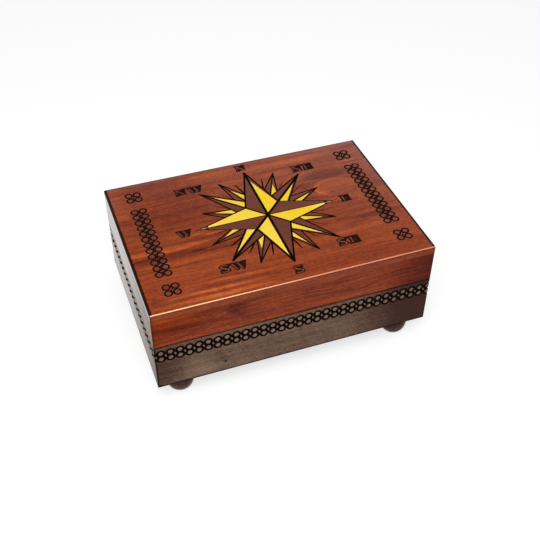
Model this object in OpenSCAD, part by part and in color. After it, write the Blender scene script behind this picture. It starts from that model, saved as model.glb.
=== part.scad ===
// Ditty box: a low keepsake box of solid boards with a hinged lid and four ball feet.
// The base and the lid are mitred frames of one plan. A panel covers the lid frame, and a panel
// is let into the underside of the base frame. The lid swings on two butt hinges whose barrels
// lie in the V between the bevelled back edges, and the two bevels meet to stop the lid.
// Millimetres. +X is to the right, +Y to the back and +Z up. The origin is on the floor, under
// the middle of the box.

/* [Box] */
// Width of the box, side to side
box_w = 240; // [180:1:320]
// Depth of the box, front to back
box_d = 166; // [120:1:240]
// Height of the base frame
base_h = 45.8; // [30:0.1:90]
// Height of the lid, with its top panel
lid_h = 36.4; // [24:0.1:70]
// Thickness of the frame boards
wall_t = 10; // [9:0.5:14]
// Radius of the upright corners
corner_r = 0.8; // [0.5:0.1:4]
// Width of the small bevel along the other outer edges
edge_break = 0.5; // [0.2:0.1:1]

/* [Lid top] */
// Thickness of the top panel
top_t = 7; // [5:0.5:12]
// Radius along the top panel's upper edges
top_edge_r = 1; // [0.5:0.1:4]

/* [Bottom] */
// Thickness of the bottom panel
bottom_t = 5; // [3:0.5:8]
// Width of the rabbet that holds the bottom panel
rabbet_w = 5; // [2:0.5:7]
// Gap around the bottom panel in its rabbet
bottom_clearance = 0.2; // [0.1:0.05:0.5]

/* [Feet] */
// Diameter of a ball foot
foot_d = 23.6; // [21:0.2:30]
// Height of a foot between its two flats
foot_h = 19; // [12:0.5:22]
// Distance from the box's side to a foot's centre
foot_inset_x = 21.5; // [15:0.5:50]
// Distance from the box's front or back to a foot's centre
foot_inset_y = 15; // [15:0.5:40]
// Wood left under the tip of a foot screw
foot_tip_wood = 6; // [3:0.5:8]
// Shank diameter of a foot screw
foot_screw_d = 3.5; // [2.5:0.1:4.5]
// Head diameter of a foot screw
foot_screw_head_d = 6.8; // [5:0.1:8]
// Width and depth of a foot screw's slot
foot_slot = 0.9; // [0.6:0.1:1.2]

/* [Hinges] */
// Distance from the box's side to a hinge's middle
hinge_inset = 48; // [32:1:70]
// Length of a hinge
hinge_l = 30; // [20:1:40]
// Number of knuckles on a hinge
knuckle_count = 5; // [3:2:7]
// Diameter of the hinge barrel
knuckle_d = 4; // [3.4:0.1:5]
// How far the barrel lies inside the back face
barrel_setback = 0.2; // [0.1:0.1:1]
// Diameter of the hinge pin
pin_d = 1.6; // [1.2:0.1:2]
// Thickness of a leaf
leaf_t = 0.9; // [0.8:0.1:1.4]
// Wood left between a leaf and the inside of the box
leaf_margin = 1; // [0.5:0.1:1.5]
// Largest angle of the open lid
lid_open_max = 98; // [90:1:110]

/* [Hinge screws] */
// Distance between the two screws of a leaf
hinge_screw_pitch = 18; // [10:0.5:22]
// Length of a hinge screw
hinge_screw_l = 8; // [5:0.5:12]
// Shank diameter of a hinge screw
hinge_screw_d = 2; // [1.4:0.1:2.4]
// Head diameter of a hinge screw
hinge_screw_head_d = 3.4; // [2.8:0.1:3.6]
// Width and depth of a hinge screw's slot
hinge_slot = 0.45; // [0.3:0.05:0.6]

/* [Clearances] */
// Radial gap between a hinge pin and the bores
pin_clearance = 0.05; // [0.02:0.01:0.1]
// Gap between neighbouring knuckles
knuckle_gap = 0.1; // [0.05:0.05:0.3]
// Gap between the two leaves of a closed hinge
leaf_gap = 0.1; // [0.05:0.05:0.3]
// Gap around a leaf in its mortise
mortise_clearance = 0.1; // [0.05:0.05:0.4]
// Radial gap around the barrel, in the boards and at the facing leaf
barrel_clearance = 0.3; // [0.15:0.05:0.5]
// Radial gap around a screw in its hole
screw_clearance = 0.05; // [0.02:0.01:0.1]
// Angle left between the two bevels when the lid is fully open
stop_clearance = 1; // [0.5:0.1:3]

/* [Hidden] */

$fn = 64;
// Length by which a cut runs past the face it opens
over = 1;

floor_z = foot_h;
seam_z = floor_z + base_h;
top_z = seam_z + lid_h;
frame_top_z = top_z - top_t;

knuckle_r = knuckle_d / 2;
knuckle_l = hinge_l / knuckle_count;
axis_inset = knuckle_r + barrel_setback;
axis_y = box_d / 2 - axis_inset;
bevel_deg = (lid_open_max + stop_clearance) / 2;
leaf_reach = wall_t - axis_inset - leaf_margin;
plate_start = knuckle_r + barrel_clearance / 2;
screw_back = (leaf_reach + plate_start) / 2;
foot_screw_l = bottom_t + foot_h - foot_tip_wood;

// Places of the pieces that come in twos and fours, as signs of X and Y
left = -1;
right = 1;
front = -1;
back = 1;

lid_wood = [0.59, 0.27, 0.16];
base_wood = [0.37, 0.28, 0.22];
foot_wood = [0.33, 0.17, 0.11];
brass = [0.80, 0.62, 0.30];
steel = [0.62, 0.62, 0.63];

// Block of the box's plan from z0 to z1, with its upright corners rounded
module plan_block(z0, z1) {
    h = z1 - z0;
    translate([-box_w / 2 + corner_r, -box_d / 2, z0])
        cube([box_w - 2 * corner_r, box_d, h]);
    translate([-box_w / 2, -box_d / 2 + corner_r, z0])
        cube([box_w, box_d - 2 * corner_r, h]);
    for (sx = [left, right], sy = [front, back])
        translate([sx * (box_w / 2 - corner_r), sy * (box_d / 2 - corner_r), z0])
            cylinder(h = h, r = corner_r);
}

// Long beam along Y of width w from z0 to z1, with all four edges broken
module broken_beam(w, z0, z1) {
    b = edge_break;
    rotate([90, 0, 0])
        linear_extrude(height = 2 * (box_w + box_d), center = true)
            polygon([
                [-w / 2 + b, z0], [w / 2 - b, z0], [w / 2, z0 + b], [w / 2, z1 - b],
                [w / 2 - b, z1], [-w / 2 + b, z1], [-w / 2, z1 - b], [-w / 2, z0 + b]
            ]);
}

// Long beam along Y of width w from z0 to z1, with rounded upper edges
module rounded_beam(w, z0, z1) {
    r = top_edge_r;
    run = 2 * (box_w + box_d);
    translate([-w / 2, -run / 2, z0])
        cube([w, run, z1 - r - z0]);
    translate([-w / 2 + r, -run / 2, z0])
        cube([w - 2 * r, run, z1 - z0]);
    for (sx = [left, right])
        translate([sx * (w / 2 - r), 0, z1 - r])
            rotate([90, 0, 0])
                cylinder(h = run, r = r, center = true);
}

// Wedge cut away behind the hinge axis, above the seam
module bevel_cut() {
    rise = (axis_inset + over) * tan(bevel_deg);
    translate([0, axis_y, seam_z])
        rotate([90, 0, 90])
            linear_extrude(height = box_w + 2 * over, center = true)
                polygon([[0, 0], [axis_inset + over, 0], [axis_inset + over, rise]]);
}

// Copies what is drawn above the seam to below it
module below_seam() {
    translate([0, 0, 2 * seam_z])
        mirror([0, 0, 1])
            children();
}

// Whole outer form of the base frame
module base_block() {
    difference() {
        intersection() {
            plan_block(floor_z, seam_z);
            broken_beam(box_w, floor_z, seam_z);
            rotate([0, 0, 90])
                broken_beam(box_d, floor_z, seam_z);
        }
        below_seam()
            bevel_cut();
    }
}

// Whole outer form of the lid, from the seam to the top
module lid_block() {
    difference() {
        intersection() {
            plan_block(seam_z, top_z);
            broken_beam(box_w, seam_z, top_z + over);
            rotate([0, 0, 90])
                broken_beam(box_d, seam_z, top_z + over);
            rounded_beam(box_w, seam_z, top_z);
            rotate([0, 0, 90])
                rounded_beam(box_d, seam_z, top_z);
        }
        bevel_cut();
    }
}

// Upright room of one mitred board: the side at -Y, turned about Z
module mitre_room(turn, long_side, short_side, z0, z1) {
    rotate([0, 0, turn])
        translate([0, 0, z0])
            linear_extrude(height = z1 - z0)
                polygon([
                    [-long_side / 2, -short_side / 2],
                    [long_side / 2, -short_side / 2],
                    [long_side / 2 - wall_t, -short_side / 2 + wall_t],
                    [-long_side / 2 + wall_t, -short_side / 2 + wall_t]
                ]);
}

// Room of the bottom panel, grown by gap on its sides
module bottom_room(gap) {
    w = box_w - 2 * (wall_t - rabbet_w) + 2 * gap;
    d = box_d - 2 * (wall_t - rabbet_w) + 2 * gap;
    translate([-w / 2, -d / 2, floor_z])
        cube([w, d, bottom_t]);
}

module base_board(turn, long_side, short_side) {
    difference() {
        intersection() {
            base_block();
            mitre_room(turn, long_side, short_side, floor_z, seam_z);
        }
        bottom_room(0);
    }
}

module lid_board(turn, long_side, short_side) {
    intersection() {
        lid_block();
        mitre_room(turn, long_side, short_side, seam_z, frame_top_z);
    }
}

// Countersunk screw with its head's face at the origin, pointing down, grown by gap
module screw_body(d, head_d, l, gap) {
    cone_h = (head_d - d) / 2;
    tip_h = d;
    translate([0, 0, -cone_h])
        cylinder(h = cone_h, d1 = d + 2 * gap, d2 = head_d + 2 * gap);
    translate([0, 0, -l + tip_h])
        cylinder(h = l - tip_h, d = d + 2 * gap);
    translate([0, 0, -l - gap])
        cylinder(h = tip_h + gap, d1 = 2 * gap, d2 = d + 2 * gap);
}

module screw(d, head_d, l, slot) {
    difference() {
        screw_body(d, head_d, l, 0);
        cube([head_d + over, slot, 2 * slot], center = true);
    }
}

// Children at both hinges, with the hinge axis along X through the origin
module at_hinge(side) {
    translate([side * (box_w / 2 - hinge_inset), axis_y, seam_z])
        children();
}

// Children at the screws of a lower leaf, at the level of the leaf's face
module at_leaf_screws() {
    for (end = [left, right])
        translate([end * hinge_screw_pitch / 2, -screw_back, -leaf_gap / 2])
            children();
}

// Lower leaf about the hinge axis, with the named knuckles; the upper leaf is its mirror image
module leaf(knuckles) {
    difference() {
        union() {
            translate([-hinge_l / 2, -leaf_reach, -leaf_gap / 2 - leaf_t])
                cube([hinge_l, leaf_reach - plate_start, leaf_t]);
            for (i = knuckles) {
                x0 = -hinge_l / 2 + i * knuckle_l + knuckle_gap / 2;
                run = knuckle_l - knuckle_gap;
                translate([x0, -plate_start, -leaf_gap / 2 - leaf_t])
                    cube([run, plate_start, leaf_t]);
                translate([x0, 0, 0])
                    rotate([0, 90, 0])
                        cylinder(h = run, r = knuckle_r);
            }
        }
        rotate([0, 90, 0])
            cylinder(h = hinge_l + 2 * over, d = pin_d + 2 * pin_clearance, center = true);
        at_leaf_screws()
            screw_body(hinge_screw_d, hinge_screw_head_d, hinge_screw_l, screw_clearance);
    }
}

// Room that a lower leaf, its screws and the barrel need in a back board
module leaf_room() {
    w = hinge_l + 2 * mortise_clearance;
    d = leaf_reach + mortise_clearance;
    depth = leaf_gap / 2 + leaf_t;
    translate([-w / 2, -d, -depth])
        cube([w, d, depth + over]);
    rotate([0, 90, 0])
        cylinder(h = w, r = knuckle_r + barrel_clearance, center = true);
    at_leaf_screws()
        screw_body(hinge_screw_d, hinge_screw_head_d, hinge_screw_l, screw_clearance);
}

module base_leaf(side) {
    at_hinge(side)
        leaf([for (i = [0:2:knuckle_count - 1]) i]);
}

module lid_leaf(side) {
    at_hinge(side)
        mirror([0, 0, 1])
            leaf([for (i = [1:2:knuckle_count - 1]) i]);
}

module hinge_pin(side) {
    at_hinge(side)
        rotate([0, 90, 0])
            cylinder(h = hinge_l - knuckle_gap, d = pin_d, center = true);
}

// Children at one foot's centre, on the floor
module at_foot(side, end) {
    translate([side * (box_w / 2 - foot_inset_x), end * (box_d / 2 - foot_inset_y), 0])
        children();
}

module foot_screw_body(gap) {
    translate([0, 0, floor_z + bottom_t])
        screw_body(foot_screw_d, foot_screw_head_d, foot_screw_l, gap);
}

module foot(side, end) {
    color(foot_wood)
        at_foot(side, end)
            difference() {
                intersection() {
                    translate([0, 0, foot_h / 2])
                        sphere(d = foot_d);
                    cylinder(h = foot_h, d = foot_d + over);
                }
                foot_screw_body(screw_clearance);
            }
}

module lid_top_panel() {
    color(lid_wood)
        intersection() {
            lid_block();
            plan_block(frame_top_z, top_z + over);
        }
}

module lid_front_board() {
    color(lid_wood)
        lid_board(0, box_w, box_d);
}

module lid_right_board() {
    color(lid_wood)
        lid_board(90, box_d, box_w);
}

module lid_back_board() {
    color(lid_wood)
        difference() {
            lid_board(180, box_w, box_d);
            for (side = [left, right])
                at_hinge(side)
                    mirror([0, 0, 1])
                        leaf_room();
        }
}

module lid_left_board() {
    color(lid_wood)
        lid_board(270, box_d, box_w);
}

module base_front_board() {
    color(base_wood)
        base_board(0, box_w, box_d);
}

module base_right_board() {
    color(base_wood)
        base_board(90, box_d, box_w);
}

module base_back_board() {
    color(base_wood)
        difference() {
            base_board(180, box_w, box_d);
            for (side = [left, right])
                at_hinge(side)
                    leaf_room();
        }
}

module base_left_board() {
    color(base_wood)
        base_board(270, box_d, box_w);
}

module base_bottom_panel() {
    color(base_wood)
        difference() {
            bottom_room(-bottom_clearance);
            for (side = [left, right], end = [front, back])
                at_foot(side, end)
                    foot_screw_body(screw_clearance);
        }
}

module foot_front_left() {
    foot(left, front);
}

module foot_front_right() {
    foot(right, front);
}

module foot_back_left() {
    foot(left, back);
}

module foot_back_right() {
    foot(right, back);
}

module foot_screws() {
    color(steel)
        for (side = [left, right], end = [front, back])
            at_foot(side, end)
                translate([0, 0, floor_z + bottom_t])
                    screw(foot_screw_d, foot_screw_head_d, foot_screw_l, foot_slot);
}

module hinge_left_base_leaf() {
    color(brass)
        base_leaf(left);
}

module hinge_left_lid_leaf() {
    color(brass)
        lid_leaf(left);
}

module hinge_left_pin() {
    color(brass)
        hinge_pin(left);
}

module hinge_right_base_leaf() {
    color(brass)
        base_leaf(right);
}

module hinge_right_lid_leaf() {
    color(brass)
        lid_leaf(right);
}

module hinge_right_pin() {
    color(brass)
        hinge_pin(right);
}

module base_hinge_screws() {
    color(brass)
        for (side = [left, right])
            at_hinge(side)
                at_leaf_screws()
                    screw(hinge_screw_d, hinge_screw_head_d, hinge_screw_l, hinge_slot);
}

module lid_hinge_screws() {
    color(brass)
        for (side = [left, right])
            at_hinge(side)
                mirror([0, 0, 1])
                    at_leaf_screws()
                        screw(hinge_screw_d, hinge_screw_head_d, hinge_screw_l, hinge_slot);
}

lid_top_panel();
lid_front_board();
lid_back_board();
lid_left_board();
lid_right_board();
base_front_board();
base_back_board();
base_left_board();
base_right_board();
base_bottom_panel();
foot_front_left();
foot_front_right();
foot_back_left();
foot_back_right();
foot_screws();
hinge_left_base_leaf();
hinge_left_lid_leaf();
hinge_left_pin();
hinge_right_base_leaf();
hinge_right_lid_leaf();
hinge_right_pin();
base_hinge_screws();
lid_hinge_screws();
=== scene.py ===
# Low keepsake box of stained wood: a lid carved and painted with a compass rose, a carved knot
# band round the base, ball feet and butt hinges. Shapes are worked out in millimetres.
import math
import bpy
import numpy as np
from mathutils import Matrix, Vector
from mathutils.geometry import delaunay_2d_cdt


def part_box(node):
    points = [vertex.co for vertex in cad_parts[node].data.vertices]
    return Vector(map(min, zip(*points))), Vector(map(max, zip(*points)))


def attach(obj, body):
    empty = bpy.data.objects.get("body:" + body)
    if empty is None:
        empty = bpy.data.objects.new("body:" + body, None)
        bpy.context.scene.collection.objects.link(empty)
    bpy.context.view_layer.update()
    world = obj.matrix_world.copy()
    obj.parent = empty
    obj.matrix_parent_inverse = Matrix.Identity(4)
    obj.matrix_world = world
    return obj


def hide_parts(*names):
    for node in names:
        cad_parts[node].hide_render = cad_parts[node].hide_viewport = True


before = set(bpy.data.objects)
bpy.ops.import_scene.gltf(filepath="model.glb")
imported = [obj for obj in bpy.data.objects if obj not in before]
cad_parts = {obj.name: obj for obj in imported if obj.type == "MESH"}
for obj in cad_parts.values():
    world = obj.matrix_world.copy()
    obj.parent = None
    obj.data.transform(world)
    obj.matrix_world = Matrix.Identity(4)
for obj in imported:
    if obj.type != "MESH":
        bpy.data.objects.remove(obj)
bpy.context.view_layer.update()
scene = bpy.context.scene
scene.view_settings.view_transform = "Standard"

# Plan and heights of the box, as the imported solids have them
low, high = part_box("base_front_board")
topLow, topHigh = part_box("lid_top_panel")
boxWide = (topHigh.x - topLow.x) * 1000
boxDeep = (topHigh.y - topLow.y) * 1000
baseFloor = low.z * 1000
seamHeight = high.z * 1000
topHeight = topHigh.z * 1000
cornerRound = 0.8
sharpAngle = 16  # edges bent more than this many degrees are shaded sharp
# how near counts as on: a face, a wall's normal, a mitre, the sheet's end, the top, a known point
within = {"face": 0.01, "upright": 0.01, "mitre": 0.005, "end": 0.003, "top": 0.002, "point": 0.004}


# Mesh tools

def mergedTriangles(name):
    # points (n, 3) in millimetres and corner numbers (m, 3) of a CAD node, equal points made one
    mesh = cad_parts[name].data
    spots = np.empty(len(mesh.vertices) * 3, np.float32)
    mesh.vertices.foreach_get("co", spots)
    mesh.calc_loop_triangles()
    corners = np.empty(len(mesh.loop_triangles) * 3, np.int32)
    mesh.loop_triangles.foreach_get("vertices", corners)
    return mergeEqual(spots.reshape(-1, 3).astype(float) * 1000, corners.reshape(-1, 3))[:2]


def mergeEqual(spots, corners):
    # points that agree to a ten-thousandth of a millimetre become one, and triangles that shrink
    # to nothing go; which ones stay comes third
    first, number = np.unique(np.round(spots, 4), axis=0, return_index=True, return_inverse=True)[1:]
    corners = number.reshape(-1)[corners]
    a, b, c = corners.T
    solid = (a != b) & (b != c) & (c != a)
    return spots[first], corners[solid], solid


def rimEdges(corners):
    # edges that only one of the triangles has
    pairs = np.concatenate([corners[:, [0, 1]], corners[:, [1, 2]], corners[:, [2, 0]]])
    edge, times = np.unique(np.sort(pairs, axis=1), axis=0, return_counts=True)
    return edge[times == 1]


def snapTo(spots, known, batch=4000):
    # each point that lies near enough to a known point takes its exact place
    for start in range(0, len(spots), batch):
        part = spots[start:start + batch]
        gap = np.linalg.norm(part[:, None] - known[None], axis=2)
        near = gap.argmin(1)
        close = gap[np.arange(len(part)), near] < within["point"]
        part[close] = known[near[close]]
    return spots


def fillFlat(spots, edges, outline):
    # flat triangles over the given edges, counter-clockwise; those outside the outline's edges go.
    # A middle is inside where a level line from it crosses the outline an odd number of times.
    made = delaunay_2d_cdt([Vector(p) for p in spots.tolist()], edges.tolist(), [], 0, 1e-3, False)
    flat = np.array([tuple(v) for v in made[0]])
    corners = np.array([tuple(f) for f in made[2]])
    a, b, c = flat[corners[:, 0]], flat[corners[:, 1]], flat[corners[:, 2]]
    area = (b[:, 0] - a[:, 0]) * (c[:, 1] - a[:, 1]) - (b[:, 1] - a[:, 1]) * (c[:, 0] - a[:, 0])
    corners[area < 0] = corners[area < 0][:, ::-1]
    x, y = ((a + b + c) / 3).T[:, :, None]
    p, q = spots[outline[:, 0]], spots[outline[:, 1]]
    rise = np.where(p[:, 1] == q[:, 1], 1, q[:, 1] - p[:, 1])
    level = (p[:, 1] > y) != (q[:, 1] > y)
    crossing = level & (x < p[:, 0] + (y - p[:, 1]) / rise * (q[:, 0] - p[:, 0]))
    return flat, corners[crossing.sum(1) % 2 == 1]


def stackEdges(parts):
    # several (points, edges) made one, the edges renumbered
    spots, edges, count = [], [], 0
    for p, e in parts:
        spots.append(p)
        edges.append(e + count)
        count += len(p)
    return np.concatenate(spots), np.concatenate(edges)


def makePiece(name, parts, depth, yellow, brown, material, body):
    # parts are (points in millimetres, triangles), the second the carved sheet; the depth of its
    # points and the paint of its triangles are kept as (yellow, brown, depth)
    spots, corners = stackEdges(parts)
    start, count = len(parts[0][1]), len(parts[1][1])
    burn = np.zeros(len(spots))
    burn[len(parts[0][0]):len(parts[0][0]) + len(depth)] = depth
    carving = np.zeros((len(corners), 3, 3), np.float32)
    carving[start:start + count, :, 0] = yellow[:, None]
    carving[start:start + count, :, 1] = brown[:, None]
    carving[:, :, 2] = burn[corners]
    spots, triangles, solid = mergeEqual(spots, corners)
    mesh = bpy.data.meshes.new(name)
    mesh.from_pydata((spots / 1000).tolist(), [], triangles.tolist())
    rgba = np.ones((len(triangles) * 3, 4), np.float32)
    rgba[:, :3] = carving[solid].reshape(-1, 3)
    layer = mesh.attributes.new("carving", "FLOAT_COLOR", "CORNER")
    layer.data.foreach_set("color", rgba.ravel())
    mesh.shade_smooth()
    mesh.set_sharp_from_angle(angle=math.radians(sharpAngle))
    mesh.update()
    piece = bpy.data.objects.new(name, mesh)
    scene.collection.objects.link(piece)
    piece.data.materials.append(material)
    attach(piece, body)
    print(name, len(triangles), "triangles,", len(rimEdges(triangles)), "open edges")
    return piece


# Carving: every V groove follows a straight line or a ring

def lineDepth(spots, lines):
    # depth = deep * (1 - distance / half), the deepest line wins; lines hold ax ay bx by half deep
    a, run = lines[:, 0:2], lines[:, 2:4] - lines[:, 0:2]
    t = np.clip(((spots[:, None] - a) * run).sum(2) / (run * run).sum(1), 0, 1)
    away = np.linalg.norm(spots[:, None] - a - t[..., None] * run, axis=2)
    return (lines[:, 5] * np.clip(1 - away / lines[:, 4], 0, 1)).max(1)


def centreAway(spots, rings):
    return np.linalg.norm(spots[:, None] - rings[:, :2], axis=2)


def ringDepth(spots, rings):
    # depth = deep * (1 - |distance to the centre - r| / half); rings hold x y r half deep
    away = abs(centreAway(spots, rings) - rings[:, 2])
    return (rings[:, 4] * np.clip(1 - away / rings[:, 3], 0, 1)).max(1)


def alongAndAcross(a, b):
    along = (b - a) / np.linalg.norm(b - a, axis=1, keepdims=True)
    return along, np.stack([-along[:, 1], along[:, 0]], 1)


def lineEdges(lines):
    # the bottom of each groove and the long hexagon round it
    a, b, half = lines[:, 0:2], lines[:, 2:4], lines[:, 4:5]
    along, side = alongAndAcross(a, b)
    spots = np.stack([a, b, a - along * half, a + side * half, b + side * half,
                      b + along * half, b - side * half, a - side * half], 1)
    links = np.array([[0, 1], [2, 0], [1, 5], [2, 3], [3, 4], [4, 5], [5, 6], [6, 7], [7, 2]])
    edges = links[None] + 8 * np.arange(len(lines))[:, None, None]
    return spots.reshape(-1, 2), edges.reshape(-1, 2)


def ringEdges(rings, sides=20):
    # three circles for each ring: the inner rim, the bottom and the outer rim
    turn = np.arange(sides) * 2 * np.pi / sides
    unit = np.stack([np.cos(turn), np.sin(turn)], 1)
    radii = rings[:, 2:3] + rings[:, 3:4] * np.array([-1, 0, 1])
    spots = rings[:, None, None, :2] + radii[:, :, None, None] * unit
    number = np.arange(len(rings) * 3 * sides).reshape(-1, sides)
    edges = np.stack([number, np.roll(number, -1, axis=1)], 2)
    return spots.reshape(-1, 2), edges.reshape(-1, 2)


band = {
    "pitch": 7.783,  # from ring to ring along the band
    "rows": (39.05, 32.75),  # heights of the two rows above the underside of the base
    "radius": 2.95, "half": 1.14, "deep": 0.65,  # of the rings: radius, half the width, depth
    "strokeHalf": 0.74, "strokeDeep": 0.55,
    "past": 4,  # rings centred this far past a board's ends still cut it
    "fillHalf": 2.4,  # half height of the pale lozenges between the rows
    "fillReach": 5.2,  # how far from the nearest ring's centre they end
    "folds": (1.5, 42.5),  # ends of the fold lines at the rounded corners, above the underside
    "foldShares": (0, 0.33, 0.67),  # where the folds lie in each half corner
}
slant = {"apart": 1.5, "lean": 0.56, "long": 4.55, "short": 1.55}  # strokes about a gap's middle


def knotBand(along, across, radius, half, deep, strokeHalf, strokeDeep):
    # rings at every (along, row), and about the middle m of each gap two strokes that follow
    # u = m + side * apart - lean * v, v running from long to -short or from short to -long
    middle = sum(across) / 2
    rings = [(u, v, radius, half, deep) for u in along for v in across]
    lines = []
    for m in (np.array(along[:-1]) + np.array(along[1:])) / 2:
        for side, top, bottom in ((1, slant["long"], -slant["short"]),
                                  (-1, slant["short"], -slant["long"])):
            u = m + side * slant["apart"]
            lines.append((u - slant["lean"] * top, middle + top,
                          u - slant["lean"] * bottom, middle + bottom, strokeHalf, strokeDeep))
    return np.array(rings), np.array(lines)


def bandFills(spots, rings, middle, axis):
    # the insides of the rings and the small lozenges between the two rows
    near = centreAway(spots, rings).min(1)
    between = abs(spots[:, axis] - middle) < band["fillHalf"]
    return (near < rings[0, 2]) | (between & (near < band["fillReach"]))


# Boards with the carved band. A board is seen from outside as a flat sheet (s, z), s along it
# from its middle and round half of each corner, z up; the sheet is bent round the corners.

boardSides = {
    # degrees turned about the middle of the box, half the length, distance of the outer face
    "base_right_board": (90, boxDeep / 2, boxWide / 2),
    "base_back_board": (180, boxWide / 2, boxDeep / 2),
    "base_left_board": (270, boxDeep / 2, boxWide / 2),
    "base_front_board": (0, boxWide / 2, boxDeep / 2),
}


def inPlace(a, b, z, turn):
    # a runs along the board and b outward, before the board is turned about the middle of the box
    angle = math.radians(turn)
    return np.stack([a * math.cos(angle) + b * math.sin(angle),
                     a * math.sin(angle) - b * math.cos(angle), z], 1)


def bendSheet(flat, depth, turn, halfLong, out):
    # straight: a = s, b = out - depth; corner: phi = (|s| - straight) / r,
    # a = straight + (r - depth) sin phi, b = out - r + (r - depth) cos phi
    s, z = flat.T
    straight = halfLong - cornerRound
    phi = np.clip(abs(s) - straight, 0, None) / cornerRound
    a = np.sign(s) * (np.minimum(abs(s), straight) + (cornerRound - depth) * np.sin(phi))
    b = out - cornerRound + (cornerRound - depth) * np.cos(phi)
    return inPlace(a, b, z, turn)


def unbend(spots, turn, halfLong, out):
    # the way back: (a, b) of each point, its s on the sheet and its distance from the sheet
    angle = math.radians(turn)
    a = spots[:, 0] * math.cos(angle) + spots[:, 1] * math.sin(angle)
    b = spots[:, 0] * math.sin(angle) - spots[:, 1] * math.cos(angle)
    straight = halfLong - cornerRound
    e, f = abs(a) - straight, b - (out - cornerRound)
    phi = np.where(e > 0, np.arctan2(e, np.maximum(f, 1e-9)), 0)
    s = np.where(e > 0, np.sign(a) * (straight + cornerRound * phi), a)
    off = np.where(e > 0, np.hypot(e, f) - cornerRound, f - cornerRound)
    return a, b, s, off


def carvedBoard(name, start, material):
    turn, halfLong, out = boardSides[name]
    reach = halfLong - cornerRound + cornerRound * math.pi / 4
    spots, corners = mergedTriangles(name)
    a, b, s, off = unbend(spots, turn, halfLong, out)
    p, q, r = spots[corners[:, 0]], spots[corners[:, 1]], spots[corners[:, 2]]
    normal = np.cross(q - p, r - p)
    normal /= np.maximum(np.linalg.norm(normal, axis=1, keepdims=True), 1e-12)
    onFace = abs(off) < within["face"]
    outer = onFace[corners].all(1) & (abs(normal[:, 2]) < within["upright"])
    onMitre = abs((halfLong - abs(a)) - (out - b)) < within["mitre"]
    onEnd = [(onMitre[corners] & (a[corners] * side > 0)).all(1) & ~outer for side in (-1, 1)]
    rest = corners[~outer & ~onEnd[0] & ~onEnd[1]]

    pitch, past = band["pitch"], band["past"]
    firstRing = math.ceil((start - past) / pitch) - 1
    lastRing = math.floor((start + 2 * reach + past) / pitch) + 1
    along = np.arange(firstRing, lastRing + 1) * pitch - (start + reach)
    rows = [baseFloor + height for height in band["rows"]]
    cuts = [band[key] for key in ("radius", "half", "deep", "strokeHalf", "strokeDeep")]
    rings, lines = knotBand(along, rows, *cuts)
    rim = rimEdges(corners[outer])
    used, edges = np.unique(rim, return_inverse=True)
    outline = (np.stack([s[used], spots[used, 2]], 1), edges.reshape(-1, 2))
    folds = []
    for side in (-1, 1):
        for share in band["foldShares"]:
            fold = side * (halfLong - cornerRound + share * cornerRound * math.pi / 4)
            folds.append([(fold, baseFloor + height) for height in band["folds"]])
    folds = (np.array(folds).reshape(-1, 2), np.arange(2 * len(folds)).reshape(-1, 2))
    drawn = stackEdges([outline, folds, lineEdges(lines), ringEdges(rings)])
    flat, sheet = fillFlat(*drawn, outline[1])
    depth = np.maximum(ringDepth(flat, rings), lineDepth(flat, lines))
    placed = snapTo(bendSheet(flat, depth, turn, halfLong, out), spots[used])

    # each mitred end again, with the notches that the grooves cut in it
    carvedRim = rimEdges(sheet)
    ends = []
    for side, end in zip((-1, 1), onEnd):
        edge = rimEdges(corners[end])
        edge = edge[~onFace[edge].all(1)]
        cut = carvedRim[(abs(flat[carvedRim][:, :, 0] - side * reach) < within["end"]).all(1)]
        plain, edge = np.unique(edge, return_inverse=True)
        notch, cut = np.unique(cut, return_inverse=True)
        known = np.concatenate([spots[plain], placed[notch]])
        plan = np.stack([out - unbend(known, turn, halfLong, out)[1], known[:, 2]], 1)
        plan, numbers = stackEdges([(plan[:len(plain)], edge.reshape(-1, 2)),
                                    (plan[len(plain):], cut.reshape(-1, 2))])
        done, tri = fillFlat(plan, numbers, numbers)
        place = inPlace(side * (halfLong - done[:, 0]), out - done[:, 0], done[:, 1], turn)
        ends.append((snapTo(place, known), tri if side < 0 else tri[:, ::-1]))

    pale = bandFills(flat[sheet].mean(1), rings, sum(rows) / 2, 1)
    parts = [(spots, rest), (placed, sheet), *ends]
    piece = makePiece("carved_" + name, parts, depth, pale, 0 * pale, material, "base")
    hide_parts(name)


# The lid top: compass rose, letters, ring columns and corner stamps

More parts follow.
